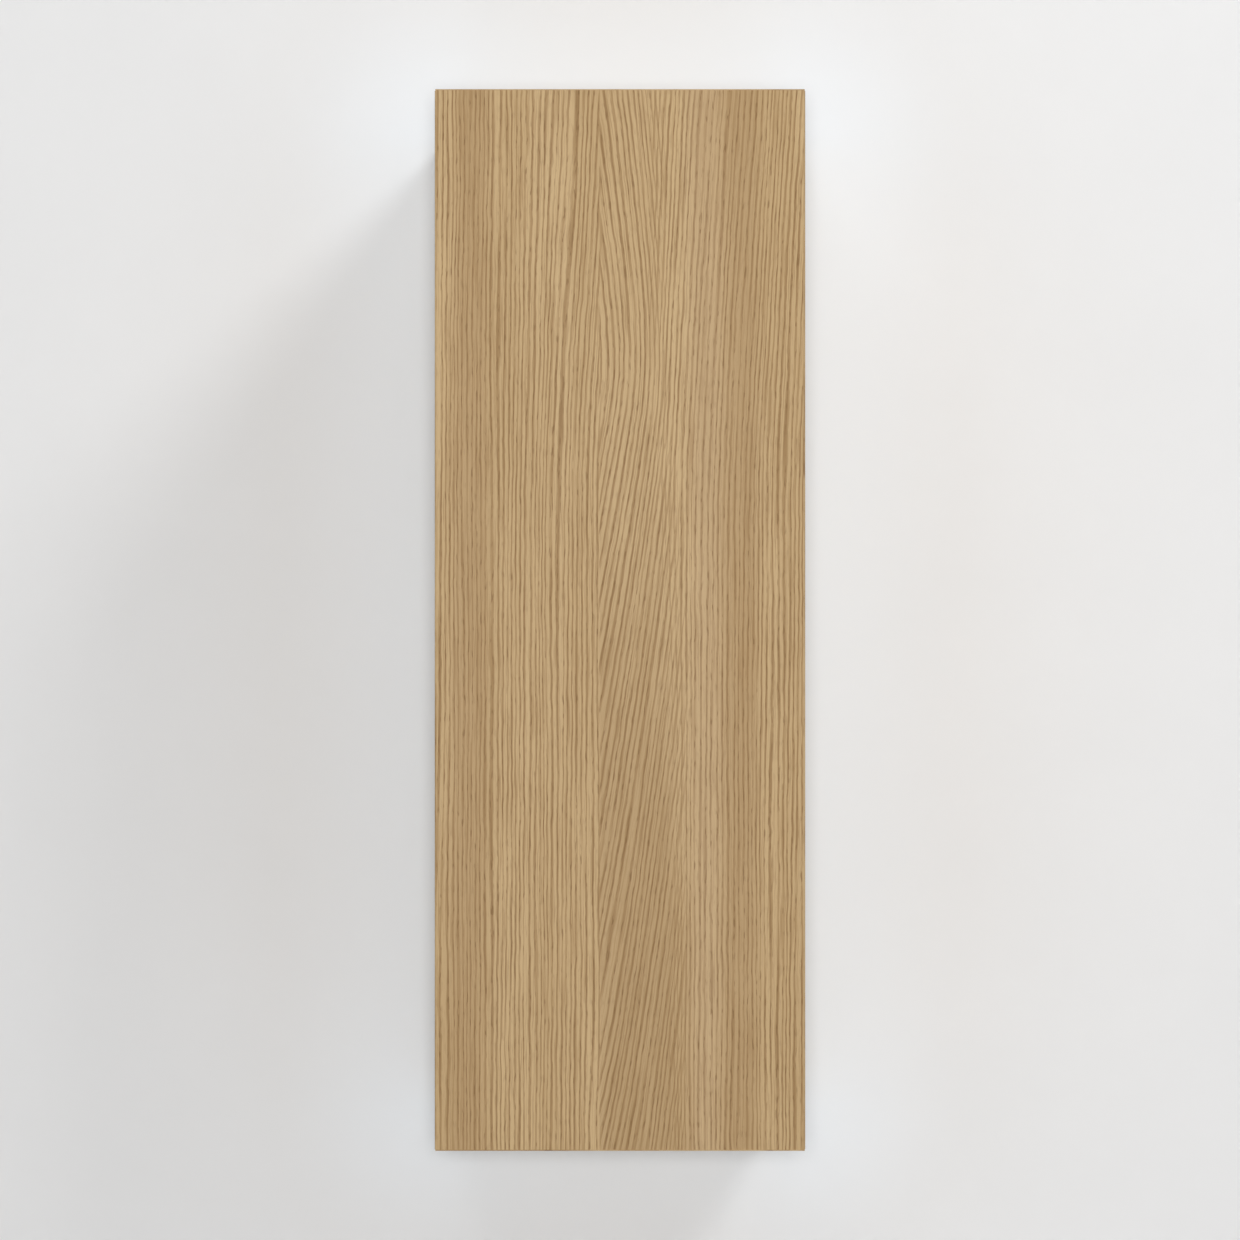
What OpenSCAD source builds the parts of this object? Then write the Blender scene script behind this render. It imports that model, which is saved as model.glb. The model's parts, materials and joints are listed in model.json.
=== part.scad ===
// Wall-hung pantry cabinet: a tall single-door box with a slab door.
// Millimetres. X is to the right, the front faces -Y, Z is up.
// The origin is on the wall plane, at the middle of the cabinet's bottom rear edge.

/* [Cabinet] */
// Overall width of the box
cab_w = 350; // [290:1:450]
// Overall height of the box
cab_h = 1000; // [830:1:1250]
// Overall depth from the wall to the front of the door
cab_d = 350; // [290:1:430]
// Thickness of the sides, top and bottom
board_t = 18; // [16:1:22]
// Thickness of the edge banding
band_t = 1; // [0.6:0.1:2]

/* [Door] */
// Thickness of the door
door_t = 19; // [18:1:24]
// Gap between the door and the box
door_gap = 2; // [1.5:0.1:3]
// How much of the box's front edge shows round the door
reveal = 1.5; // [1:0.1:3]
// Radius of a door buffer
buffer_r = 4; // [3:0.5:6]
// Distance of a door buffer from the door's edges
buffer_in = 9; // [8:0.5:10]
// Gap between a door buffer and the box
buffer_clear = 0.2; // [0.1:0.1:0.5]

/* [Back] */
// Thickness of the back panel
back_t = 8; // [4:1:10]
// Depth of the space behind the back panel
back_recess = 18; // [16:1:24]
// Depth of the groove that holds the back panel
groove_depth = 8; // [5:1:10]
// Play of the back panel in its groove, on each side
groove_clear = 0.1; // [0.1:0.1:0.4]

/* [Shelves] */
// Thickness of a shelf
shelf_t = 18; // [16:1:22]
// Distance from the shelf's front edge to the box's front edge
shelf_setback = 26; // [15:1:60]
// Gap at each end of a shelf
shelf_side_gap = 1; // [0.5:0.1:2]
// Gap between a shelf and the back panel
shelf_back_gap = 1; // [0.5:0.5:4]
// Underside of the lowest shelf, below the middle hinge
shelf_1_below_mid = 236; // [200:1:270]
// Underside of the middle shelf, above the middle hinge
shelf_2_above_mid = 56; // [40:1:90]
// Underside of the highest shelf, below the top hinge
shelf_3_below_top = 132; // [80:1:150]
// Radius of a shelf pin
pin_r = 2.5; // [2:0.5:3]
// Play round a shelf pin in its hole
pin_clear = 0.1; // [0.05:0.05:0.2]
// Depth of a shelf pin hole
pin_hole_depth = 10; // [8:1:12]
// Spacing of the shelf pin holes
hole_pitch = 32; // [25:1:32]
// Spare holes above and below each shelf's own hole
spare_holes = 2; // [1:1:2]
// Distance of the rear row of holes from the back panel
rear_row_in = 37; // [30:1:60]
// Height of a shelf pin's rest under the shelf
pin_rest_h = 6; // [5:1:8]
// Reach of a shelf pin's rest under the shelf
pin_rest_l = 8; // [6:1:10]
// Width of a shelf pin's rest
pin_rest_w = 9; // [7:1:12]

/* [Corner joints] */
// Radius of the bore that holds a cam lock
cam_r = 7.5; // [6:0.5:7.5]
// Depth of the bore that holds a cam lock
cam_bore_depth = 13; // [12.5:0.5:14]
// Distance from a cam lock's centre to the side panel
cam_in = 34; // [24:1:34]
// Radius of the bolt that a cam lock pulls on
cam_bolt_r = 3; // [2.5:0.5:3.5]
// How far a cam bolt or dowel goes into the side panel
side_bite = 11; // [8:1:13]
// Radius of a dowel
dowel_r = 4; // [3:0.5:4]
// Length of a dowel
dowel_l = 30; // [25:1:35]
// Play round the fittings of a corner joint
fitting_clear = 0.1; // [0.05:0.05:0.2]
// Distance of the front cam locks from the box's front edge
cam_front_in = 50; // [37:1:60]
// Distance of the rear cam locks from the back panel
cam_rear_in = 40; // [30:1:50]
// Distance from a cam lock to the dowel next to it
dowel_step = 32; // [28:1:40]
// Thickness of a cam lock's cover cap
cap_t = 0.8; // [0.5:0.1:1.5]
// How far a cover cap reaches past its bore
cap_lip = 1.5; // [1:0.5:3]

/* [Hinges] */
// Distance from the box's top or bottom to the outer hinges
hinge_inset = 100; // [80:1:120]
// Radius of a hinge cup
cup_r = 17.5; // [17:0.5:18]
// Depth of a hinge cup
cup_depth = 13; // [12.8:0.1:14]
// Wall of a hinge cup
cup_wall = 0.6; // [0.5:0.1:0.7]
// Play round a hinge cup in its bore
cup_clear = 0.1; // [0.05:0.05:0.2]
// Thickness of the flange round a hinge cup
flange_t = 0.6; // [0.5:0.1:0.7]
// Distance from the door's edge to a hinge cup
cup_edge = 3; // [3:0.5:4]
// Distance from the cup's centre to its screws, along the door's edge
cup_screw_step = 24; // [24:0.5:26]
// Distance from the cup's centre line to its screws, across the door
cup_screw_in = 9.5; // [6:0.5:9.5]
// Distance from the box's front edge to the plate screws
plate_row = 37; // [37:1:40]
// Distance between the two screws of a hinge plate
plate_screw_pitch = 32; // [32:1:32]
// Thickness of a hinge plate's wings
plate_wing_t = 2.5; // [2:0.1:3]
// Height of a hinge plate above the side panel
plate_h = 8; // [7:0.5:9]
// Half the width of a hinge plate's rail
plate_half_w = 7; // [6:0.5:8]
// Length of a hinge plate's rail
plate_l = 52; // [46:1:60]
// Sheet thickness of the hinge arm
arm_t = 1.5; // [1:0.1:1.5]
// Gap between the hinge arm and its plate
arm_clear = 0.3; // [0.2:0.1:0.4]
// Radius of the hinge's pivot pins
pivot_r = 1.5; // [1.3:0.1:1.6]
// Running clearance round a pivot pin
pivot_clear = 0.06; // [0.03:0.01:0.1]
// Radius of the links round their pivots
link_r = 2.5; // [2.3:0.1:2.6]
// Half the width of the hinge arm's nose
nose_half_w = 2.5; // [2:0.1:2.6]
// Gap between neighbouring plates of the hinge
link_gap = 0.25; // [0.2:0.05:0.3]
// Thickness of the links' plates
link_t = 0.9; // [0.7:0.1:1]

/* [Push latch] */
// Distance from the right side panel to the latch's centre
latch_side_in = 62; // [60:1:90]
// Radius of the latch's plunger
plunger_r = 4; // [3:0.5:4.5]
// Running clearance round the plunger
plunger_clear = 0.1; // [0.05:0.05:0.1]
// Length of the latch's housing
latch_l = 70; // [60:1:80]
// Half the width of the latch's housing
latch_half_w = 8; // [7:0.5:10]
// Gap between the plunger's tip and its strike plate
tip_clear = 0.3; // [0.2:0.1:0.5]
// Thickness of the strike plate
strike_t = 1.2; // [1:0.1:1.2]

/* [Wall hanging] */
// Thickness of the wall rail and of the hooks
rail_t = 2; // [1.5:0.1:2.5]
// Distance from the box's top to the wall rail's top edge
rail_drop = 34; // [32:1:40]
// Height of the wall rail
rail_h = 42; // [36:1:60]
// Height of the wall rail's lip
lip_h = 14; // [12:1:18]
// Width of the gap between the wall rail's lip and the wall
rail_gap = 7; // [6:0.5:7]
// Distance between the wall rail's two screw holes
rail_hole_pitch = 200; // [160:1:220]
// Radius of a wall rail screw hole
rail_hole_r = 3.25; // [2.5:0.05:4]
// Width of a hanger's body
hanger_w = 20; // [18:1:24]
// Length of a hanger's body, front to back
hanger_l = 46; // [40:1:60]
// Height of a hanger's body
hanger_h = 56; // [50:1:70]
// Width of a hanger's hook
hook_w = 12; // [8:1:14]
// Radius of a hanger's adjusting screws
adjuster_r = 3; // [2.5:0.5:4]

/* [Hidden] */
$fn = 48;
eps = 0.01;

// Planes of the box and of the door
front_y = -(cab_d - door_t - door_gap);
door_back_y = front_y - door_gap;
in_x = cab_w / 2 - board_t;
in_top = cab_h - board_t;
back_front_y = -(back_recess + back_t);
door_w = cab_w - 2 * reveal;

// Heights of the hinges and of the shelves' undersides
hinge_zs = [hinge_inset, cab_h / 2, cab_h - hinge_inset];
shelf_zs = [
    hinge_zs[1] - shelf_1_below_mid,
    hinge_zs[1] + shelf_2_above_mid,
    hinge_zs[2] - shelf_3_below_top
];

// Shelves and their pins
shelf_front_y = front_y + shelf_setback;
shelf_back_y = back_front_y - shelf_back_gap;
shelf_half_w = in_x - shelf_side_gap;
row_ys = [front_y + plate_row, back_front_y - rear_row_in];
hinge_keepout = plate_screw_pitch / 2 + 16;

// Corner joints
cam_ys = [front_y + cam_front_in, back_front_y - cam_rear_in];
dowel_ys = [cam_ys[0] + dowel_step, cam_ys[1] - dowel_step];
cam_bolt_head_r = cam_bolt_r;
cam_bolt_neck_r = 2;

// Hinges: the pivots' places in plan, taken from the cup's centre at the door's rear face
cup_x = -door_w / 2 + cup_edge + cup_r;
outer_arm_pivot = [cup_x - 13, door_back_y - 9.3];
outer_cup_pivot = [cup_x - 1.3, door_back_y - 8.9];
inner_arm_pivot = [cup_x - 7, door_back_y - 9.3];
inner_cup_pivot = [cup_x - 1.3, door_back_y - 1.5];
arm_knee = [cup_x + 8, door_back_y - 7];
arm_neck = [cup_x + 3.4, door_back_y + 5.5];
neck_r = 2.3;
inner_plate_z = nose_half_w + link_gap;
outer_plate_z = inner_plate_z + link_t + link_gap;
pin_seat = 0.03;
flange_lip = 1.5;

// Hinge plates and the screws that hold the arms on them
plate_y = front_y + plate_row;
plate_front_y = plate_y - 22;
plate_rear_y = plate_front_y + plate_l;
arm_screw_r = 2.5;
arm_screw_ys = [plate_front_y + 13, plate_rear_y - 8];
cheek_z = plate_half_w + arm_clear;

// Push latch on the bottom panel, at the door's free side
latch_x = in_x - latch_side_in;
latch_z = board_t + latch_half_w;
latch_front_y = front_y + 2;
ear_w = 7;
ear_t = 3;
ear_screw_r = 1.8;
ear_screw_ys = [latch_front_y + 14, latch_front_y + latch_l - 14];
ear_screw_x = latch_half_w + ear_w / 2;
plunger_l = latch_l - 8;
strike_front_y = door_back_y + strike_t;

// Wall rail and hangers
rail_top_z = cab_h - rail_drop;
rail_step_z = rail_top_z - lip_h;
rail_hole_z = rail_top_z - lip_h - (rail_h - lip_h) / 2;
hanger_x = in_x - hanger_w / 2;
hanger_top_z = in_top - 2;
hanger_rear_y = back_front_y - 0.2;
hanger_front_y = hanger_rear_y - hanger_l;
hook_z = rail_top_z + 0.1;
adjuster_zs = [rail_top_z - 6, rail_top_z - 24];
hanger_screw_z = hanger_top_z - hanger_h + 8;
hanger_screw_ys = [hanger_rear_y - 12, hanger_front_y + 12];
hanger_screw_r = 2;

// Small screws
screw_clear = 0.1;
screw_bite = 11;
plate_screw_r = 2.5;
cup_screw_r = 1.8;
cup_screw_l = 10;
recess_l = 3;
recess_w = 0.8;

// A block between two opposite corners
module block(low, high) {
    translate(low)
        cube(high - low);
}

// A round bar along X, from x0 to x1
module x_rod(x0, x1, y, z, r) {
    translate([min(x0, x1), y, z])
        rotate([0, 90, 0])
            cylinder(r = r, h = abs(x1 - x0));
}

// A round bar along Y, from y0 to y1
module y_rod(x, y0, y1, z, r) {
    translate([x, max(y0, y1), z])
        rotate([90, 0, 0])
            cylinder(r = r, h = abs(y1 - y0));
}

// A round bar along Z, from z0 to z1
module z_rod(x, y, z0, z1, r) {
    translate([x, y, min(z0, z1)])
        cylinder(r = r, h = abs(z1 - z0));
}

// The right-hand piece for side = 1, its mirror image for side = -1
module on_side(side) {
    if (side < 0)
        mirror([1, 0, 0])
            children();
    else
        children();
}

// A flat bar with round ends at a and b
module bar2d(a, b, r) {
    run = b - a;
    translate(a)
        circle(r);
    translate(b)
        circle(r);
    translate(a)
        rotate(atan2(run[1], run[0]))
            translate([0, -r])
                square([norm(run), 2 * r]);
}

// A flat strip with square ends from a to b
module strip2d(a, b, half_w) {
    run = b - a;
    translate(a)
        rotate(atan2(run[1], run[0]))
            translate([0, -half_w])
                square([norm(run), 2 * half_w]);
}

// A screw along -Z with its head's top at z = 0 and a cross recess
module screw(r, length, head_r, head_h) {
    difference() {
        union() {
            translate([0, 0, -head_h])
                cylinder(r = head_r, h = head_h);
            translate([0, 0, -length])
                cylinder(r = r, h = length - head_h + eps);
        }
        for (turn = [0, 90])
            rotate(turn)
                translate([-recess_l / 2, -recess_w / 2, -head_h / 2])
                    cube([recess_l, recess_w, head_h]);
    }
}

// Heights of the shelf pins' holes, left out where a hinge plate covers the row
pin_zs = [for (z = shelf_zs) z - pin_rest_h / 2];
hole_zs = [
    for (z = pin_zs, k = [-spare_holes:spare_holes])
        let (hole_z = z + k * hole_pitch)
            if (min([for (h = hinge_zs) abs(hole_z - h)]) > hinge_keepout) hole_z
];
joint_zs = [board_t / 2, cab_h - board_t / 2];

// A side panel, drawn on the right
module side_panel() {
    difference() {
        block([in_x, front_y + band_t, 0], [cab_w / 2, 0, cab_h]);
        block(
            [in_x - 1, back_front_y - groove_clear, -1],
            [in_x + groove_depth, -back_recess + groove_clear, cab_h + 1]
        );
        for (y = row_ys, z = hole_zs)
            x_rod(in_x - 1, in_x + pin_hole_depth, y, z, pin_r + pin_clear);
        for (z = joint_zs) {
            for (y = cam_ys)
                x_rod(in_x - 1, in_x + side_bite + 0.5, y, z, cam_bolt_r + fitting_clear);
            for (y = dowel_ys)
                x_rod(in_x - 1, in_x + side_bite + 0.5, y, z, dowel_r + fitting_clear);
        }
        for (y = hanger_screw_ys)
            x_rod(in_x - 1, in_x + screw_bite, y, hanger_screw_z, hanger_screw_r + screw_clear);
    }
}

module side_panel_left() {
    color("burlywood")
        difference() {
            on_side(-1)
                side_panel();
            for (h = hinge_zs, z = [h - plate_screw_pitch / 2, h + plate_screw_pitch / 2])
                x_rod(-in_x - screw_bite, -in_x + 1, plate_y, z, plate_screw_r + screw_clear);
        }
}

module side_panel_right() {
    color("burlywood")
        side_panel();
}

// The bottom panel; the top panel is its mirror image
module end_panel() {
    difference() {
        block([-in_x, front_y + band_t, 0], [in_x, 0, board_t]);
        block(
            [-in_x - 1, back_front_y - groove_clear, board_t - groove_depth],
            [in_x + 1, -back_recess + groove_clear, board_t + 1]
        );
        for (side = [-1, 1])
            on_side(side) {
                for (y = cam_ys) {
                    z_rod(in_x - cam_in, y, board_t - cam_bore_depth, board_t + 1, cam_r);
                    x_rod(in_x - cam_in, in_x + 1, y, board_t / 2, cam_bolt_r + fitting_clear);
                }
                for (y = dowel_ys)
                    x_rod(
                        in_x - dowel_l + side_bite - 1, in_x + 1, y, board_t / 2, dowel_r + fitting_clear
                    );
            }
    }
}

// Stands the bottom panel's fittings in the top panel too
module at_top() {
    translate([0, 0, cab_h])
        mirror([0, 0, 1])
            children();
}

module bottom_panel() {
    color("burlywood")
        difference() {
            end_panel();
            for (side = [-1, 1], y = ear_screw_ys)
                z_rod(
                    latch_x + side * ear_screw_x, y, board_t - screw_bite, board_t + 1,
                    ear_screw_r + screw_clear
                );
        }
}

module top_panel() {
    color("burlywood")
        at_top()
            end_panel();
}

module back_panel() {
    play = 0.5;
    slot_half_w = hook_w / 2 + 1.5;
    color("tan")
        difference() {
            block(
                [-in_x - groove_depth + play, back_front_y, board_t - groove_depth + play],
                [in_x + groove_depth - play, -back_recess, in_top + groove_depth - play]
            );
            for (side = [-1, 1])
                on_side(side)
                    block(
                        [hanger_x - slot_half_w, back_front_y - 1, rail_top_z - 6],
                        [hanger_x + slot_half_w, -back_recess + 1, rail_top_z + 8]
                    );
        }
}

module edge_band_side() {
    block([in_x, front_y, 0], [cab_w / 2, front_y + band_t, cab_h]);
}

module edge_band_left() {
    color("burlywood")
        on_side(-1)
            edge_band_side();
}

module edge_band_right() {
    color("burlywood")
        edge_band_side();
}

module edge_band_bottom() {
    color("burlywood")
        block([-in_x, front_y, 0], [in_x, front_y + band_t, board_t]);
}

module edge_band_top() {
    color("burlywood")
        block([-in_x, front_y, in_top], [in_x, front_y + band_t, cab_h]);
}

// A shelf and the band on its front edge, by the shelf's number from the bottom
module shelf(number) {
    z = shelf_zs[number - 1];
    color("burlywood")
        block([-shelf_half_w, shelf_front_y + band_t, z], [shelf_half_w, shelf_back_y, z + shelf_t]);
}

module shelf_band(number) {
    z = shelf_zs[number - 1];
    color("burlywood")
        block([-shelf_half_w, shelf_front_y, z], [shelf_half_w, shelf_front_y + band_t, z + shelf_t]);
}

module shelf_pins() {
    color("silver")
        for (side = [-1, 1], y = row_ys, z = pin_zs)
            on_side(side)
                union() {
                    x_rod(in_x - 1, in_x + pin_hole_depth - 0.5, y, z, pin_r);
                    block(
                        [in_x - pin_rest_l, y - pin_rest_w / 2, z - pin_rest_h / 2],
                        [in_x - 0.2, y + pin_rest_w / 2, z + pin_rest_h / 2]
                    );
                }
}

// Places a corner fitting at its four corners
module at_corners() {
    for (side = [-1, 1])
        on_side(side) {
            children();
            at_top()
                children();
        }
}

module cam_locks() {
    color("silver")
        at_corners()
            for (y = cam_ys)
                difference() {
                    z_rod(
                        in_x - cam_in, y, board_t - cam_bore_depth + 0.2, board_t - 0.3,
                        cam_r - fitting_clear
                    );
                    x_rod(in_x - cam_in - 2, in_x, y, board_t / 2, cam_bolt_r + 0.4);
                    for (turn = [0, 90])
                        translate([in_x - cam_in, y, board_t - 2])
                            rotate(turn)
                                translate([-4, -0.6, 0])
                                    cube([8, 1.2, 3]);
                }
}

module cam_bolts() {
    neck_x = in_x - cam_in + 4;
    color("silver")
        at_corners()
            for (y = cam_ys)
                union() {
                    x_rod(neck_x + 3, in_x + side_bite, y, board_t / 2, cam_bolt_r);
                    x_rod(neck_x - 1, neck_x + 4, y, board_t / 2, cam_bolt_neck_r);
                    x_rod(neck_x - 3, neck_x, y, board_t / 2, cam_bolt_head_r);
                }
}

module dowels() {
    color("wheat")
        at_corners()
            for (y = dowel_ys)
                x_rod(in_x + side_bite - dowel_l, in_x + side_bite, y, board_t / 2, dowel_r);
}

module cam_caps() {
    color("tan")
        at_corners()
            for (y = cam_ys)
                z_rod(in_x - cam_in, y, board_t, board_t + cap_t, cam_r + cap_lip);
}

// The shell of the right-hand hanger, open to the rear
module hanger_body() {
    cavity_half_w = hook_w / 2 + 0.5;
    difference() {
        block(
            [in_x - hanger_w, hanger_front_y, hanger_top_z - hanger_h],
            [in_x, hanger_rear_y, hanger_top_z]
        );
        block(
            [hanger_x - cavity_half_w, hanger_front_y + 12, rail_top_z - 32],
            [hanger_x + cavity_half_w, hanger_rear_y + 1, rail_top_z + 8]
        );
        for (z = adjuster_zs)
            y_rod(hanger_x, hanger_front_y - 1, hanger_front_y + 13, z, adjuster_r + screw_clear);
        for (y = hanger_screw_ys)
            x_rod(
                in_x - hanger_w - 1, in_x + 1, y, hanger_screw_z, hanger_screw_r + screw_clear
            );
    }
}

module hanger_body_left() {
    color("gainsboro")
        on_side(-1)
            hanger_body();
}

module hanger_body_right() {
    color("gainsboro")
        hanger_body();
}

// The bent steel hook that drops behind the wall rail's lip
module hanger_hook() {
    tip_y = -rail_gap + 0.5;
    block(
        [hanger_x - hook_w / 2, hanger_rear_y - 26, hook_z],
        [hanger_x + hook_w / 2, tip_y + rail_t, hook_z + rail_t]
    );
    block(
        [hanger_x - hook_w / 2, tip_y, hook_z - 10],
        [hanger_x + hook_w / 2, tip_y + rail_t, hook_z + eps]
    );
    block(
        [hanger_x - hook_w / 2, hanger_rear_y - 26, hook_z - 26],
        [hanger_x + hook_w / 2, hanger_rear_y - 26 + rail_t, hook_z + eps]
    );
}

module hanger_hook_left() {
    color("silver")
        on_side(-1)
            hanger_hook();
}

module hanger_hook_right() {
    color("silver")
        hanger_hook();
}

// The cap over the front of a hanger
module hanger_cover() {
    cover_t = 1.5;
    screw_room = 3;
    difference() {
        block(
            [in_x - hanger_w, hanger_front_y - cover_t - screw_room, hanger_top_z - hanger_h],
            [in_x - 0.2, hanger_front_y - 0.1, hanger_top_z]
        );
        block(
            [in_x - hanger_w + cover_t, hanger_front_y - screw_room, hanger_top_z - hanger_h + cover_t],
            [in_x - 0.2 - cover_t, hanger_front_y + 1, hanger_top_z - cover_t]
        );
    }
}

module hanger_cover_left() {
    color("white")
        on_side(-1)
            hanger_cover();
}

module hanger_cover_right() {
    color("white")
        hanger_cover();
}

module hanger_adjusters() {
    head_h = 2;
    color("silver")
        for (side = [-1, 1], z = adjuster_zs)
            on_side(side)
                translate([hanger_x, hanger_front_y - head_h, z])
                    rotate([90, 0, 0])
                        screw(adjuster_r, 14 + head_h, adjuster_r + 0.8, head_h);
}

module hanger_screws() {
    head_h = 1.6;
    color("silver")
        for (side = [-1, 1], y = hanger_screw_ys)
            on_side(side)
                translate([in_x - hanger_w - head_h, y, hanger_screw_z])
                    rotate([0, -90, 0])
                        screw(hanger_screw_r, hanger_w + head_h + screw_bite - 1, 3.5, head_h);
}

// The rail screwed to the wall: a flat strip with a lip that stands off the wall
module wall_rail() {
    end_x = in_x - 3;
    color("silver")
        difference() {
            union() {
                block([-end_x, -rail_t, rail_top_z - rail_h], [end_x, 0, rail_step_z]);
                block(
                    [-end_x, -rail_gap - rail_t, rail_step_z - rail_t],
                    [end_x, 0, rail_step_z]
                );
                block(
                    [-end_x, -rail_gap - rail_t, rail_step_z - rail_t],
                    [end_x, -rail_gap, rail_top_z]
                );
            }
            for (side = [-1, 1])
                y_rod(side * rail_hole_pitch / 2, -rail_gap, 1, rail_hole_z, rail_hole_r);
        }
}

// A hinge's mounting plate: two wings with a screw each and a raised rail
module hinge_plate(number) {
    h = hinge_zs[number - 1];
    wing_half_l = plate_screw_pitch / 2 + 7;
    color("silver")
        difference() {
            union() {
                translate([-in_x, 0, 0])
                    rotate([0, 90, 0])
                        linear_extrude(plate_wing_t)
                            bar2d([-h - wing_half_l + 6, plate_y], [-h + wing_half_l - 6, plate_y], 6);
                block(
                    [-in_x, plate_front_y, h - plate_half_w],
                    [-in_x + plate_h, plate_rear_y, h + plate_half_w]
                );
            }
            for (side = [-1, 1])
                x_rod(
                    -in_x - 1, -in_x + plate_h, plate_y, h + side * plate_screw_pitch / 2,
                    plate_screw_r + screw_clear
                );
            for (y = arm_screw_ys)
                x_rod(-in_x + 1, -in_x + plate_h + 1, y, h, arm_screw_r + screw_clear);
        }
}

module plate_screws() {
    head_h = 1.6;
    color("silver")
        for (h = hinge_zs, side = [-1, 1])
            translate([-in_x + plate_wing_t + head_h, plate_y, h + side * plate_screw_pitch / 2])
                rotate([0, 90, 0])
                    screw(plate_screw_r, plate_wing_t + head_h + screw_bite - 1, 4, head_h);
}

// A hinge's arm: a channel over the plate, and a cranked nose that reaches into the cup
module hinge_arm(number) {
    h = hinge_zs[number - 1];
    web_x = -in_x + plate_h + arm_clear;
    cheek_x = -in_x + plate_wing_t + arm_clear;
    nose_root = [web_x + arm_t / 2, plate_front_y + 4];
    color("silver")
        difference() {
            union() {
                block(
                    [web_x, plate_front_y, h - cheek_z - arm_t],
                    [web_x + arm_t, plate_rear_y, h + cheek_z + arm_t]
                );
                for (side = [-1, 1])
                    translate([0, 0, h + side * (cheek_z + arm_t / 2) - arm_t / 2])
                        linear_extrude(arm_t)
                            translate([cheek_x, plate_front_y])
                                square([web_x + arm_t - cheek_x, plate_l]);
                translate([0, 0, h - nose_half_w])
                    linear_extrude(2 * nose_half_w)
                        difference() {
                            union() {
                                strip2d(outer_arm_pivot, inner_arm_pivot, neck_r);
                                strip2d(inner_arm_pivot, arm_knee, neck_r);
                                strip2d(arm_knee, arm_neck, neck_r);
                                strip2d(arm_neck, nose_root, neck_r);
                                for (p = [outer_arm_pivot, inner_arm_pivot, arm_knee, arm_neck])
                                    translate(p)
                                        circle(neck_r + 0.12);
                            }
                            translate([-in_x, plate_front_y])
                                square([plate_h + arm_clear + arm_t / 2, plate_l]);
                        }
            }
            for (p = [inner_arm_pivot, outer_arm_pivot])
                z_rod(p[0], p[1], h - 20, h + 20, pivot_r + pin_seat);
            for (y = arm_screw_ys)
                x_rod(web_x - 1, web_x + arm_t + 1, y, h, arm_screw_r + screw_clear);
        }
}

module arm_screws() {
    head_h = 1.4;
    head_x = -in_x + plate_h + arm_clear + arm_t + head_h;
    color("silver")
        for (h = hinge_zs, y = arm_screw_ys)
            translate([head_x, y, h])
                rotate([0, 90, 0])
                    screw(arm_screw_r, plate_h + arm_clear + arm_t + head_h - 2, 4, head_h);
}

// The two pins that cross the arm's nose in each hinge
module arm_pivot_pins() {
    outer_end_z = outer_plate_z + link_t;
    inner_end_z = inner_plate_z + link_t;
    color("dimgray")
        for (h = hinge_zs) {
            z_rod(
                outer_arm_pivot[0], outer_arm_pivot[1], h - outer_end_z, h + outer_end_z, pivot_r
            );
            z_rod(
                inner_arm_pivot[0], inner_arm_pivot[1], h - inner_end_z, h + inner_end_z, pivot_r
            );
        }
}

// How far a cup's pin reaches from the cup's middle to just inside its outer surface
function cup_reach(pivot) = sqrt(pow(cup_r - 0.3, 2) - pow(pivot[0] - cup_x, 2));

// The pins in the cup, held by its wall, in line from both sides of each hinge
module cup_pivot_pins() {
    color("dimgray")
        for (h = hinge_zs, side = [-1, 1]) {
            z_rod(
                outer_cup_pivot[0], outer_cup_pivot[1],
                h + side * outer_plate_z, h + side * cup_reach(outer_cup_pivot), pivot_r
            );
            z_rod(
                inner_cup_pivot[0], inner_cup_pivot[1],
                h + side * (outer_plate_z + link_t + link_gap), h + side * cup_reach(inner_cup_pivot),
                pivot_r
            );
        }
}

// A pair of link plates astride the arm's nose, plate_z from its middle
module link_pair(number, plate_z, arm_pivot, cup_pivot) {
    h = hinge_zs[number - 1];
    color("silver")
        for (side = [-1, 1])
            difference() {
                translate([0, 0, h + side * (plate_z + link_t / 2) - link_t / 2])
                    linear_extrude(link_t)
                        bar2d(arm_pivot, cup_pivot, link_r);
                for (p = [arm_pivot, cup_pivot])
                    z_rod(p[0], p[1], h - 20, h + 20, pivot_r + pivot_clear);
            }
}

module inner_link(number) {
    link_pair(number, inner_plate_z, inner_arm_pivot, inner_cup_pivot);
}

module outer_link(number) {
    link_pair(number, outer_plate_z, outer_arm_pivot, outer_cup_pivot);
}

// A hinge's cup with the flange that its screws go through
module hinge_cup(number) {
    h = hinge_zs[number - 1];
    screw_x = cup_x + cup_screw_in;
    color("silver")
        difference() {
            union() {
                translate([0, door_back_y + flange_t, 0])
                    rotate([90, 0, 0])
                        linear_extrude(flange_t)
                            union() {
                                translate([cup_x, h])
                                    circle(cup_r + flange_lip);
                                bar2d([screw_x, h - cup_screw_step], [screw_x, h + cup_screw_step], 6);
                            }
                y_rod(cup_x, door_back_y - cup_depth, door_back_y + flange_t, h, cup_r);
            }
            y_rod(
                cup_x, door_back_y - cup_depth + cup_wall, door_back_y + flange_t + 1, h, cup_r - cup_wall
            );
            for (side = [-1, 1])
                y_rod(
                    screw_x, door_back_y - 1, door_back_y + flange_t + 1, h + side * cup_screw_step,
                    cup_screw_r + screw_clear
                );
            for (p = [inner_cup_pivot, outer_cup_pivot])
                z_rod(p[0], p[1], h - cup_r - 1, h + cup_r + 1, pivot_r + pin_seat);
        }
}

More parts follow.
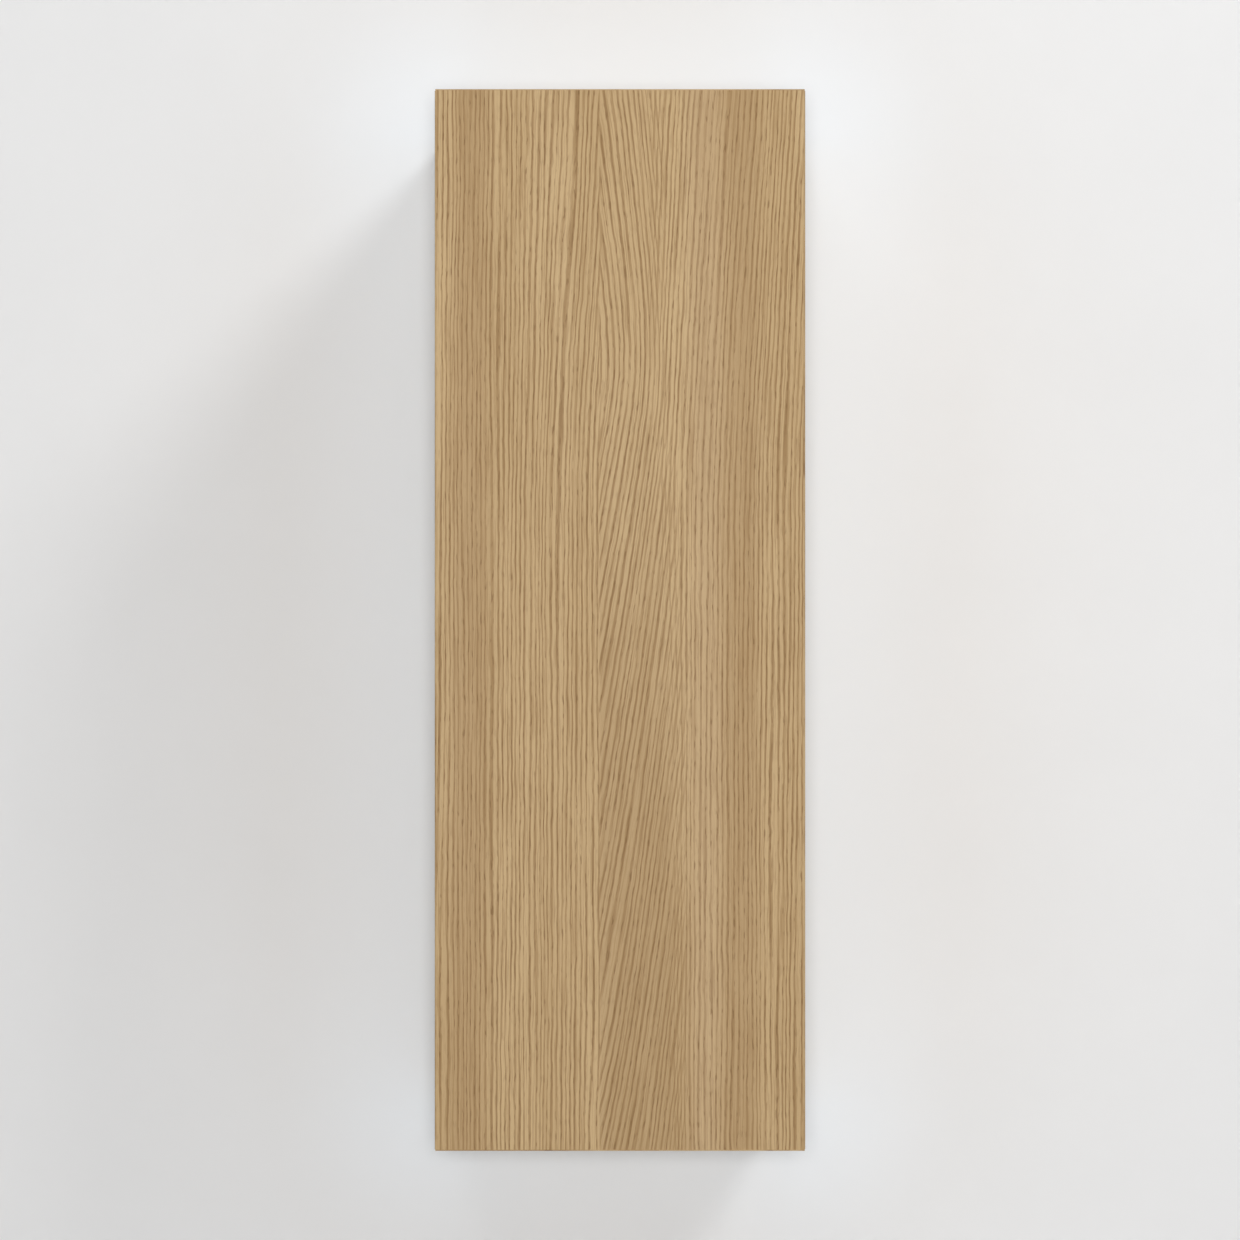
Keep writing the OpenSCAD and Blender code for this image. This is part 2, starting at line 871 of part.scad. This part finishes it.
module cup_screws() {
    head_h = 1.2;
    color("silver")
        for (h = hinge_zs, side = [-1, 1])
            translate([
                cup_x + cup_screw_in,
                door_back_y + flange_t + head_h,
                h + side * cup_screw_step
            ])
                rotate([-90, 0, 0])
                    screw(cup_screw_r, cup_screw_l, 3.4, head_h);
}

// The slab door
module door_panel() {
    color("burlywood")
        difference() {
            block(
                [-door_w / 2 + band_t, -cab_d, reveal + band_t],
                [door_w / 2 - band_t, door_back_y, cab_h - reveal - band_t]
            );
            for (h = hinge_zs) {
                y_rod(cup_x, door_back_y - cup_depth - 0.2, door_back_y + 1, h, cup_r + cup_clear);
                for (side = [-1, 1])
                    y_rod(
                        cup_x + cup_screw_in, door_back_y - cup_screw_l - 1, door_back_y + 1,
                        h + side * cup_screw_step, cup_screw_r + screw_clear
                    );
            }
        }
}

module door_band_right() {
    color("burlywood")
        block(
            [door_w / 2 - band_t, -cab_d, reveal],
            [door_w / 2, door_back_y, cab_h - reveal]
        );
}

module door_band_left() {
    color("burlywood")
        on_side(-1)
            block(
                [door_w / 2 - band_t, -cab_d, reveal],
                [door_w / 2, door_back_y, cab_h - reveal]
            );
}

module door_band_bottom() {
    color("burlywood")
        block(
            [-door_w / 2 + band_t, -cab_d, reveal],
            [door_w / 2 - band_t, door_back_y, reveal + band_t]
        );
}

module door_band_top() {
    color("burlywood")
        at_top()
            block(
                [-door_w / 2 + band_t, -cab_d, reveal],
                [door_w / 2 - band_t, door_back_y, reveal + band_t]
            );
}

// The soft buffers between the door and the box's right-hand front edge
module door_buffers() {
    buffer_x = door_w / 2 - buffer_in;
    color("whitesmoke")
        for (z = [reveal + buffer_in, cab_h - reveal - buffer_in])
            y_rod(buffer_x, door_back_y, front_y - buffer_clear, z, buffer_r);
}

module strike_plate() {
    color("silver")
        y_rod(latch_x, door_back_y, strike_front_y, latch_z, plunger_r + 5);
}

// The latch's housing, with an ear on each side for its screws
module latch_housing() {
    color("gainsboro")
        difference() {
            union() {
                block(
                    [latch_x - latch_half_w, latch_front_y, board_t],
                    [latch_x + latch_half_w, latch_front_y + latch_l, board_t + 2 * latch_half_w]
                );
                for (y = ear_screw_ys)
                    block(
                        [latch_x - latch_half_w - ear_w, y - 6, board_t],
                        [latch_x + latch_half_w + ear_w, y + 6, board_t + ear_t]
                    );
            }
            y_rod(
                latch_x, latch_front_y - 1, latch_front_y + plunger_l + 1, latch_z,
                plunger_r + plunger_clear
            );
            for (side = [-1, 1], y = ear_screw_ys)
                z_rod(
                    latch_x + side * ear_screw_x, y, board_t - 1, board_t + ear_t + 1,
                    ear_screw_r + screw_clear
                );
        }
}

module latch_plunger() {
    tip_y = strike_front_y + tip_clear;
    color("white")
        difference() {
            y_rod(latch_x, tip_y, latch_front_y + plunger_l, latch_z, plunger_r);
            y_rod(latch_x, tip_y - 1, tip_y + 0.6, latch_z, plunger_r - 1.2);
        }
}

module latch_screws() {
    head_h = 1.4;
    color("silver")
        for (side = [-1, 1], y = ear_screw_ys)
            translate([latch_x + side * ear_screw_x, y, board_t + ear_t + head_h])
                screw(ear_screw_r, ear_t + head_h + screw_bite - 1, 3, head_h);
}

side_panel_left();
side_panel_right();
top_panel();
bottom_panel();
back_panel();
edge_band_left();
edge_band_right();
edge_band_top();
edge_band_bottom();
shelf(1);  // shelf_1
shelf(2);  // shelf_2
shelf(3);  // shelf_3
shelf_band(1);  // shelf_band_1
shelf_band(2);  // shelf_band_2
shelf_band(3);  // shelf_band_3
shelf_pins();
cam_locks();
cam_bolts();
dowels();
cam_caps();
hanger_body_left();
hanger_body_right();
hanger_hook_left();
hanger_hook_right();
hanger_cover_left();
hanger_cover_right();
hanger_adjusters();
hanger_screws();
wall_rail();
hinge_plate(1);  // hinge_plate_1
hinge_plate(2);  // hinge_plate_2
hinge_plate(3);  // hinge_plate_3
plate_screws();
hinge_arm(1);  // hinge_arm_1
hinge_arm(2);  // hinge_arm_2
hinge_arm(3);  // hinge_arm_3
arm_screws();
arm_pivot_pins();
inner_link(1);  // inner_link_1
inner_link(2);  // inner_link_2
inner_link(3);  // inner_link_3
outer_link(1);  // outer_link_1
outer_link(2);  // outer_link_2
outer_link(3);  // outer_link_3
door_panel();
door_band_left();
door_band_right();
door_band_top();
door_band_bottom();
hinge_cup(1);  // hinge_cup_1
hinge_cup(2);  // hinge_cup_2
hinge_cup(3);  // hinge_cup_3
cup_screws();
cup_pivot_pins();
door_buffers();
strike_plate();
latch_housing();
latch_plunger();
latch_screws();
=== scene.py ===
"""The looks of the wall-hung pantry cabinet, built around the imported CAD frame."""

import json
import math

import bpy
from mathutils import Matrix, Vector


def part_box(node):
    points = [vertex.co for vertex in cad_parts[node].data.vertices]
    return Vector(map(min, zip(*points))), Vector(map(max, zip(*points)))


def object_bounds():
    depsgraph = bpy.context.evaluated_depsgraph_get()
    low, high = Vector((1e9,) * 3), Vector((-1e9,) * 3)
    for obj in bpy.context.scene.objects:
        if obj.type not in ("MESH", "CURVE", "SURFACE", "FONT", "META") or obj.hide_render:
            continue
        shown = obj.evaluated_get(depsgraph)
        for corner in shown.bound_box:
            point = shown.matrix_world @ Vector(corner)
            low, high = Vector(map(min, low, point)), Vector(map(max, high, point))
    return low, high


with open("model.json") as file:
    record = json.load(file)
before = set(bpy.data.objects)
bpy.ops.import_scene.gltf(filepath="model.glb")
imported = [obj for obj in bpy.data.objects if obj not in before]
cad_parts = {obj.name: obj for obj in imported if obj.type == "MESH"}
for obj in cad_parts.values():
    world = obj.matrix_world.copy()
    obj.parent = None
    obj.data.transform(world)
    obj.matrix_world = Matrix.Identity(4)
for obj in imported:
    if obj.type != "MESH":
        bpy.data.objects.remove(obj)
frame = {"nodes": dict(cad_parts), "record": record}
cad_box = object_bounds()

NODES = frame["nodes"]
SLOT_OF = {part["node"]: part["material_slot"] for part in frame["record"]["subparts"]}

# The photographed view: square on, and centred on the front
CAMERA_DISTANCE = 3.415
PICTURE_WIDTH_AT_FRONT = 1.1645
SENSOR_WIDTH = 0.036
DOOR_LOW, DOOR_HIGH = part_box("door_panel")
FRONT_Y = DOOR_LOW[1]
CENTRE_X = (DOOR_LOW[0] + DOOR_HIGH[0]) / 2
CENTRE_Z = (DOOR_LOW[2] + DOOR_HIGH[2]) / 2


def linear(red, green, blue):
    """A colour given in 0-255 display values, as Blender's linear RGBA."""
    def channel(value):
        value /= 255
        return value / 12.92 if value <= 0.04045 else ((value + 0.055) / 1.055) ** 2.4
    return (channel(red), channel(green), channel(blue), 1.0)


class Graph:
    """A short way to write a material's nodes."""

    def __init__(self, name):
        self.material = bpy.data.materials.new(name)
        self.material.use_nodes = True
        self.tree = self.material.node_tree
        self.shader = self.tree.nodes["Principled BSDF"]

    def node(self, kind, **settings):
        made = self.tree.nodes.new(kind)
        for key, value in settings.items():
            setattr(made, key, value)
        return made

    def link(self, source, target):
        self.tree.links.new(source, target)

    def feed(self, socket, value):
        """Links an output to a socket, or sets the socket to a plain value."""
        if isinstance(value, bpy.types.NodeSocket):
            self.link(value, socket)
        else:
            socket.default_value = value

    def math(self, operation, a, b=0.0, c=0.0):
        """One step of arithmetic on outputs or plain values."""
        made = self.node("ShaderNodeMath", operation=operation)
        for socket, value in zip(made.inputs, (a, b, c)):
            self.feed(socket, value)
        return made.outputs[0]

    def place(self):
        """The point's place in its own object, in metres, as X, Y and Z outputs."""
        coordinates = self.node("ShaderNodeTexCoord").outputs["Object"]
        split = self.node("ShaderNodeSeparateXYZ")
        self.link(coordinates, split.inputs[0])
        return split.outputs

    def vector(self, x, y, z):
        """A point made of three outputs or plain values."""
        made = self.node("ShaderNodeCombineXYZ")
        for socket, value in zip(made.inputs, (x, y, z)):
            self.feed(socket, value)
        return made.outputs[0]

    def noise(self, vector, scale=1.0, detail=2.0, roughness=0.5):
        made = self.node("ShaderNodeTexNoise")
        self.feed(made.inputs["Vector"], vector)
        made.inputs["Scale"].default_value = scale
        made.inputs["Detail"].default_value = detail
        made.inputs["Roughness"].default_value = roughness
        return made.outputs["Fac"]

    def between(self, value, low, high, to_low=0.0, to_high=1.0):
        """Maps low..high smoothly to to_low..to_high, held at both ends."""
        made = self.node("ShaderNodeMapRange")
        made.interpolation_type = "SMOOTHSTEP"
        for key, number in (("From Min", low), ("From Max", high), ("To Min", to_low), ("To Max", to_high)):
            made.inputs[key].default_value = number
        self.feed(made.inputs["Value"], value)
        return made.outputs["Result"]

    def ramp(self, value, *stops):
        """Colours along a value, each stop a position and a colour."""
        made = self.node("ShaderNodeValToRGB")
        points = made.color_ramp.elements
        while len(points) < len(stops):
            points.new(0.5)
        for point, (position, colour) in zip(points, stops):
            point.position = position
            point.color = colour
        self.feed(made.inputs[0], value)
        return made.outputs[0]

    def mix(self, factor, a, b, blend="MIX"):
        """One colour over another, by a factor from 0 to 1."""
        made = self.node("ShaderNodeMix", data_type="RGBA", blend_type=blend)
        made.clamp_result = False
        self.feed(made.inputs[0], factor)
        self.feed(made.inputs[6], a)
        self.feed(made.inputs[7], b)
        return made.outputs[2]

    def bump(self, height, distance, strength=1.0):
        """Fine relief on the surface, distance metres deep."""
        made = self.node("ShaderNodeBump")
        made.inputs["Distance"].default_value = distance
        made.inputs["Strength"].default_value = strength
        self.feed(made.inputs["Height"], height)
        self.link(made.outputs[0], self.shader.inputs["Normal"])


# Display colours of the oak, from its darkest pores to its palest streaks
OAK_PORE = linear(128, 96, 57)
OAK_DARK = linear(141, 109, 68)
OAK_MEAN = linear(172, 141, 97)
OAK_PALE = linear(197, 168, 123)
OAK_BROWN = linear(152, 119, 76)
OAK_PINK = linear(179, 150, 115)

# Display colours of the boards' particle core
CORE_DARK = linear(126, 98, 68)
CORE_MEAN = linear(168, 142, 108)
CORE_PALE = linear(198, 176, 144)

# Distance between the oak's dark growth lines
LINE_PITCH = 0.0047

# The flat-cut strip on the door. Its left side is straight, its right side shifts with height, and at
# its tip the lines' lean turns from one way to the other. Leans are metres across per metre up.
STRIP_LEFT = -0.019
STRIP_RIGHT_LOW = 0.057
STRIP_RIGHT_HIGH = 0.036
STRIP_TIP = 0.742
STRIP_LEAN_BELOW = 0.175
STRIP_LEAN_ABOVE = -0.12
STRIP_CROWDING = 2.5
STRIP_SPREAD = 0.80
FAN_LEAN = 0.06
PINK_BAND = 0.080
BROWN_BANDS = (-0.142, 0.112)


def oak(name, across="x", along="z", flat_cut=False, raw_rear=False, seed=0.0, tint=1.0):
    """Straight-grained oak. across and along are the board's own directions in the frame.

    raw_rear leaves the board's bare particle core on its rear edge."""
    g = Graph(name)
    axes = dict(zip("xyz", g.place()))
    u = axes[across]
    v = axes[along]
    w = axes[({"x", "y", "z"} - {across, along}).pop()]
    depth = g.math("MULTIPLY", w, 12.0)

    def grain_noise(across_scale, along_scale, place=u, shift=0.0, detail=2.0, roughness=0.5):
        """Noise with its own number of waves per metre across and along the board."""
        point = g.vector(
            g.math("MULTIPLY_ADD", place, across_scale, seed + shift),
            depth,
            g.math("MULTIPLY", v, along_scale),
        )
        return g.noise(point, detail=detail, roughness=roughness)

    def centred(value, amount):
        """Noise from 0 to 1 as a swing of this amount about nothing."""
        return g.math("MULTIPLY", g.math("SUBTRACT", value, 0.5), amount)

    # The lines wander slowly over the board and tremble a little along their length
    sway = centred(grain_noise(7.0, 1.5, shift=1.3), 0.020)
    tremble = centred(grain_noise(60.0, 38.0, shift=5.9, detail=1.0), 0.0022)
    u_grain = g.math("ADD", u, g.math("ADD", sway, tremble))

    def grain(place, shift):
        """How dark the growth lines, pores and streaks are at this place across the grain."""
        phase = g.math("MULTIPLY", place, 1.0 / LINE_PITCH)
        phase = g.math("ADD", phase, centred(grain_noise(45.0, 1.2, place, shift + 2.1), 3.2))
        offset = g.math("ABSOLUTE", g.math("SUBTRACT", g.math("FRACT", phase), 0.5))
        line = g.between(offset, 0.02, 0.30, 1.0, 0.0)
        strength = g.between(grain_noise(230.0, 9.0, place, shift + 7.7), 0.34, 0.62, 0.35, 1.0)
        fibre = grain_noise(900.0, 16.0, place, shift + 13.3, detail=3.0, roughness=0.6)
        pore = g.between(grain_noise(820.0, 95.0, place, shift + 29.9, detail=1.0), 0.55, 0.68)
        pore = g.math("MULTIPLY", pore, g.math("MULTIPLY_ADD", line, 0.75, 0.18))
        dark = g.math("MULTIPLY_ADD", g.math("MULTIPLY", line, strength), 0.52, centred(fibre, 0.95))
        return dark, pore

    over_tip = g.math("SUBTRACT", v, STRIP_TIP)
    beside_strip = u_grain
    if flat_cut:
        # Left of the strip the lines fan out a little towards the top
        fan = g.math("MULTIPLY", g.math("SMOOTH_MAX", over_tip, -0.10, 0.10), FAN_LEAN)
        fan = g.math("MULTIPLY", fan, g.between(u, -0.12, STRIP_LEFT))
        beside_strip = g.math("SUBTRACT", u_grain, fan)
    dark, pore = grain(beside_strip, 0.0)
    in_strip = 0.0
    if flat_cut:
        # Inside the strip the lines lean one way below its tip and the other way above it
        below = g.math("MULTIPLY", g.math("SMOOTH_MIN", over_tip, 0.0, 0.10), STRIP_LEAN_BELOW)
        above = g.math("MULTIPLY", g.math("SMOOTH_MAX", over_tip, 0.0, 0.10), STRIP_LEAN_ABOVE)
        crowd = g.math("MULTIPLY", g.math("POWER", g.math("SUBTRACT", u, STRIP_LEFT), 2.0), STRIP_CROWDING)
        leaning = g.math("SUBTRACT", g.math("ADD", u_grain, crowd), g.math("ADD", below, above))
        edge = g.math("ADD", u, tremble)
        right = g.between(v, STRIP_TIP - 0.35, STRIP_TIP + 0.1, STRIP_RIGHT_LOW, STRIP_RIGHT_HIGH)
        from_right = g.math("SUBTRACT", right, g.math("ADD", edge, g.math("MULTIPLY", sway, 1.5)))
        in_strip = g.math(
            "MULTIPLY",
            g.between(edge, STRIP_LEFT - 0.002, STRIP_LEFT + 0.002),
            g.between(from_right, -0.016, 0.020),
        )
        strip_dark, strip_pore = grain(g.math("MULTIPLY", leaning, STRIP_SPREAD), 83.0)
        dark = g.math("ADD", dark, g.math("MULTIPLY", in_strip, g.math("SUBTRACT", strip_dark, dark)))
        pore = g.math("ADD", pore, g.math("MULTIPLY", in_strip, g.math("SUBTRACT", strip_pore, pore)))
    colour = g.ramp(dark, (0.0, OAK_PALE), (0.16, OAK_MEAN), (0.62, OAK_DARK))

    # Broad bands a little paler or browner than the rest
    broad = g.between(grain_noise(26.0, 2.0, u_grain, 3.1), 0.35, 0.65)
    colour = g.mix(g.math("MULTIPLY", g.math("SUBTRACT", 1.0, broad), 0.26), colour, OAK_BROWN)
    colour = g.mix(g.math("MULTIPLY", broad, 0.12), colour, OAK_PINK)
    if flat_cut:
        # The strip darkens towards the bottom, a pinkish band runs beside it and brown ones further out
        darken = g.between(v, 0.25, 0.80, 0.26, 0.04)
        colour = g.mix(g.math("MULTIPLY", in_strip, darken), colour, OAK_DARK)
        beside = g.math("ABSOLUTE", g.math("SUBTRACT", g.math("ADD", u, sway), PINK_BAND))
        colour = g.mix(g.between(beside, 0.004, 0.026, 0.28, 0.0), colour, OAK_PINK)
        for brown_band in BROWN_BANDS:
            from_band = g.math("ABSOLUTE", g.math("SUBTRACT", g.math("ADD", u, sway), brown_band))
            colour = g.mix(g.between(from_band, 0.006, 0.028, 0.42, 0.0), colour, OAK_BROWN)

    colour = g.mix(g.math("MULTIPLY", pore, 0.80), colour, OAK_PORE)
    if tint != 1.0:
        colour = g.mix(1.0, colour, (tint, tint, tint, 1.0), blend="MULTIPLY")
    if raw_rear:
        facing = g.node("ShaderNodeSeparateXYZ")
        g.link(g.node("ShaderNodeTexCoord").outputs["Normal"], facing.inputs[0])
        chips = g.noise(g.vector(u, v, w), scale=380.0, detail=3.0, roughness=0.7)
        core = g.ramp(chips, (0.34, CORE_DARK), (0.50, CORE_MEAN), (0.66, CORE_PALE))
        colour = g.mix(g.math("GREATER_THAN", facing.outputs["Y"], 0.5), colour, core)

    g.link(colour, g.shader.inputs["Base Color"])
    g.link(g.between(dark, 0.0, 0.6, 0.54, 0.64), g.shader.inputs["Roughness"])
    g.shader.inputs["Specular IOR Level"].default_value = 0.30
    g.bump(g.math("MULTIPLY_ADD", dark, -0.4, g.math("MULTIPLY", pore, -1.0)), 0.00012, 0.6)
    return g.material


def metal(name, colour, roughness, brushed_along=None):
    """Plated steel with fine wear, or fine brushing along one axis."""
    g = Graph(name)
    axes = dict(zip("xyz", g.place()))
    stretch = {key: 3000.0 for key in "xyz"}
    if brushed_along:
        stretch[brushed_along] = 60.0
    point = g.vector(*(g.math("MULTIPLY", axes[key], stretch[key]) for key in "xyz"))
    fine = g.noise(point, detail=2.0)
    cloud = g.noise(g.vector(*axes.values()), scale=70.0, detail=3.0)
    darker = tuple(channel * 0.90 for channel in colour[:3]) + (1.0,)
    g.link(g.ramp(cloud, (0.35, darker), (0.65, colour)), g.shader.inputs["Base Color"])
    spread = g.math("MULTIPLY_ADD", g.math("SUBTRACT", fine, 0.5), 0.16, roughness)
    g.link(g.math("MULTIPLY_ADD", cloud, 0.08, spread), g.shader.inputs["Roughness"])
    g.shader.inputs["Metallic"].default_value = 1.0
    g.bump(fine, 0.00002, 0.4)
    return g.material


def plastic(name, colour, roughness):
    """Moulded plastic with a fine spark-eroded texture."""
    g = Graph(name)
    point = g.vector(*g.place())
    grain = g.noise(point, scale=2600.0, detail=1.0)
    cloud = g.noise(point, scale=45.0, detail=2.0)
    darker = tuple(channel * 0.93 for channel in colour[:3]) + (1.0,)
    g.link(g.ramp(cloud, (0.3, darker), (0.7, colour)), g.shader.inputs["Base Color"])
    g.link(g.math("MULTIPLY_ADD", grain, 0.12, roughness - 0.06), g.shader.inputs["Roughness"])
    g.bump(grain, 0.00003, 0.5)
    return g.material


def dress(material, *names):
    """Gives CAD nodes a material in place of their plain one."""
    for name in names:
        slots = NODES[name].material_slots
        if not slots:
            NODES[name].data.materials.append(material)
        for each in slots:
            each.material = material


def names_in(slot, *without):
    """The CAD nodes with this material slot, apart from the named ones."""
    return [name for name, own in SLOT_OF.items() if own == slot and name not in without]


dress(oak("oak_door", flat_cut=True), *names_in("door_veneer"))
dress(oak("oak_door_edge", across="y", seed=5.3, tint=0.90), "door_band_left", "door_band_right")
dress(oak("oak_door_ends", across="y", along="x", seed=8.1, tint=0.90), "door_band_top", "door_band_bottom")
dress(oak("oak_sides", across="y", raw_rear=True, seed=17.0), "side_panel_left", "side_panel_right")
dress(oak("oak_ends", across="y", along="x", raw_rear=True, seed=23.0), "top_panel", "bottom_panel")
dress(oak("oak_shelves", across="y", along="x", seed=31.0), "shelf_1", "shelf_2", "shelf_3")
dress(oak("oak_side_edges", seed=37.0, tint=0.92), "edge_band_left", "edge_band_right")
dress(
    oak("oak_cross_edges", across="z", along="x", seed=43.0, tint=0.92),
    "edge_band_top", "edge_band_bottom", "shelf_band_1", "shelf_band_2", "shelf_band_3",
)
dress(oak("oak_back", seed=53.0), "back_panel")
dress(oak("beech_dowel", across="z", along="x", seed=61.0, tint=1.15), "dowels")
dress(metal("nickel", linear(205, 202, 196), 0.34), *names_in("nickel"))
dress(metal("pin_steel", linear(150, 149, 147), 0.33, brushed_along="z"), *names_in("pin_steel"))
dress(metal("zinc", linear(188, 192, 198), 0.36), *names_in("zinc", "wall_rail"))
dress(metal("rail_zinc", linear(188, 192, 198), 0.38, brushed_along="x"), "wall_rail")
dress(plastic("grey_plastic", linear(168, 170, 172), 0.45), *names_in("grey_plastic"))
dress(plastic("white_plastic", linear(228, 228, 224), 0.40), *names_in("white_plastic"))
dress(plastic("oak_cap", linear(178, 148, 110), 0.50), *names_in("cap_plastic"))
dress(plastic("soft_buffer", linear(214, 214, 206), 0.30), *names_in("clear_buffer"))


def camera():
    """Square on to the door, at the distance that the wall shadow's start gives for this depth."""
    data = bpy.data.cameras.new("camera")
    data.sensor_width = SENSOR_WIDTH * 1000
    data.lens = SENSOR_WIDTH * 1000 * CAMERA_DISTANCE / PICTURE_WIDTH_AT_FRONT
    data.clip_end = 50.0
    made = bpy.data.objects.new("camera", data)
    made.location = (CENTRE_X, FRONT_Y - CAMERA_DISTANCE, CENTRE_Z)
    made.rotation_euler = (math.radians(90), 0, 0)
    bpy.context.scene.collection.objects.link(made)
    bpy.context.scene.camera = made


def sheets(name, corners, faces, material):
    """Flat stage surfaces."""
    mesh = bpy.data.meshes.new(name)
    mesh.from_pydata(corners, [], faces)
    mesh.materials.append(material)
    made = bpy.data.objects.new(name, mesh)
    bpy.context.scene.collection.objects.link(made)


def plaster(name, colour, behind_cabinet=False, glow=0.0):
    """Pale painted plaster. Behind the cabinet it is seen from its front only, so that the rear shows;
    round the cabinet it carries painted light, paler and cooler.
    """
    g = Graph(name)
    place = g.place()
    cloud = g.noise(g.vector(place[0], place[1], place[2]), scale=6.0, detail=3.0)
    dull = tuple(channel * 0.985 for channel in colour[:3]) + (1.0,)
    paint = g.ramp(cloud, (0.3, dull), (0.7, colour))
    g.shader.inputs["Roughness"].default_value = 0.9
    g.shader.inputs["Specular IOR Level"].default_value = 0.1
    if behind_cabinet:
        # Painted light: a paler, cooler tone round the cabinet evens out the shade and the warm bounce
        # light that its sides throw on the wall
        aside = g.math("MAXIMUM", g.math("SUBTRACT", g.math("ABSOLUTE", place[0]), DOOR_HIGH[0]), 0.0)
        from_centre = g.math("ABSOLUTE", g.math("SUBTRACT", place[2], CENTRE_Z))
        beyond = g.math("MAXIMUM", g.math("SUBTRACT", from_centre, DOOR_HIGH[2] - CENTRE_Z), 0.0)
        away = g.math("SQRT", g.math("ADD", g.math("POWER", aside, 2.0), g.math("POWER", beyond, 2.0)))
        paint = g.mix(g.between(away, 0.0, PAINTED_LIGHT_REACH, 1.0, 0.0), paint, PAINTED_LIGHT_TONE)
        clear = g.node("ShaderNodeBsdfTransparent")
        switch = g.node("ShaderNodeMixShader")
        g.link(g.node("ShaderNodeNewGeometry").outputs["Backfacing"], switch.inputs[0])
        g.link(g.shader.outputs[0], switch.inputs[1])
        g.link(clear.outputs[0], switch.inputs[2])
        g.link(switch.outputs[0], g.tree.nodes["Material Output"].inputs["Surface"])
    g.link(paint, g.shader.inputs["Base Color"])
    g.link(paint, g.shader.inputs["Emission Color"])
    g.shader.inputs["Emission Strength"].default_value = glow
    return g.material


# The stage, in metres. The wall stands just behind the cabinet and is open inside its outline.
WALL_PAINT = linear(238, 238, 238)
FLOOR_PAINT = linear(226, 226, 226)
# Painted light on the wall round the cabinet: its paler, cooler tone, and how far from the cabinet it
# reaches
PAINTED_LIGHT_TONE = linear(245, 249, 253)
PAINTED_LIGHT_REACH = 0.20
ROOM_GLOW = 0.18
OPENING_INSET = 0.0005
ROOM_HALF = 6.0
ROOM_FRONT = -8.0
ROOM_REAR = 6.0
FLOOR_Z = -1.7
CEILING_Z = 5.0
WALL_Y = 0.0005


def rectangle(half, low, high, y):
    """The corners of an upright rectangle, from the lower left one round."""
    return [(-half, y, low), (half, y, low), (half, y, high), (-half, y, high)]


def stage():
    """The wall, open behind the cabinet so that its back is lit, with a floor and a faintly lit room."""
    half = cad_box[1][0] - OPENING_INSET
    opening = rectangle(half, cad_box[0][2] + OPENING_INSET, cad_box[1][2] - OPENING_INSET, WALL_Y)
    wall = rectangle(ROOM_HALF, FLOOR_Z, CEILING_Z, WALL_Y)
    # Four faces that join two rings of four corners: the wall and its opening, or the room's sides
    between_rings = [(i, (i + 1) % 4, 4 + (i + 1) % 4, 4 + i) for i in range(4)]
    sheets("wall", wall + opening, between_rings, plaster("wall_paint_and_painted_light", WALL_PAINT, behind_cabinet=True))
    low = [
        (-ROOM_HALF, ROOM_FRONT, FLOOR_Z), (ROOM_HALF, ROOM_FRONT, FLOOR_Z),
        (ROOM_HALF, ROOM_REAR, FLOOR_Z), (-ROOM_HALF, ROOM_REAR, FLOOR_Z),
    ]
    high = [(x, y, CEILING_Z) for x, y, z in low]
    sheets("floor", low, [(0, 1, 2, 3)], plaster("floor_paint", FLOOR_PAINT))
    sheets("room", low + high, between_rings, plaster("room_paint", FLOOR_PAINT, glow=ROOM_GLOW))


def area_light(name, place, target, size, watts):
    """A round light at a place, aimed at a target."""
    data = bpy.data.lights.new(name, "AREA")
    data.shape = "DISK"
    data.size = size
    data.energy = watts
    made = bpy.data.objects.new(name, data)
    made.location = place
    made.rotation_euler = (Vector(target) - Vector(place)).to_track_quat("-Z", "Y").to_euler()
    bpy.context.scene.collection.objects.link(made)


def lights():
    """A soft key light to the upper right, as the wall shadow shows, a wash from above, a small fill
    just behind the viewer, whose shadow the cabinet hides, and two lights for the back."""
    centre = (CENTRE_X, FRONT_Y, CENTRE_Z)
    top_edge = (0.0, 0.0, CENTRE_Z + 0.5)
    area_light("key", (2.656, -2.24, CENTRE_Z + 3.415), centre, 1.5, 80)
    area_light("top_wash", (-0.6, -2.6, CENTRE_Z + 3.2), top_edge, 3.0, 30)
    area_light("viewer_fill", (CENTRE_X, FRONT_Y - CAMERA_DISTANCE - 0.3, CENTRE_Z + 0.03), centre, 0.4, 58)
    area_light("rear_key", (-2.2, 3.2, CENTRE_Z + 1.8), centre, 1.6, 90)
    area_light("rear_fill", (2.6, 3.0, CENTRE_Z + 0.4), centre, 2.0, 40)
    world = bpy.data.worlds.new("room")
    bpy.context.scene.world = world
    world.use_nodes = True
    background = world.node_tree.nodes["Background"]
    background.inputs["Color"].default_value = (1.0, 1.0, 1.0, 1.0)
    background.inputs["Strength"].default_value = 0.10
    bpy.context.scene.view_settings.view_transform = "Standard"


camera()
stage()
lights()
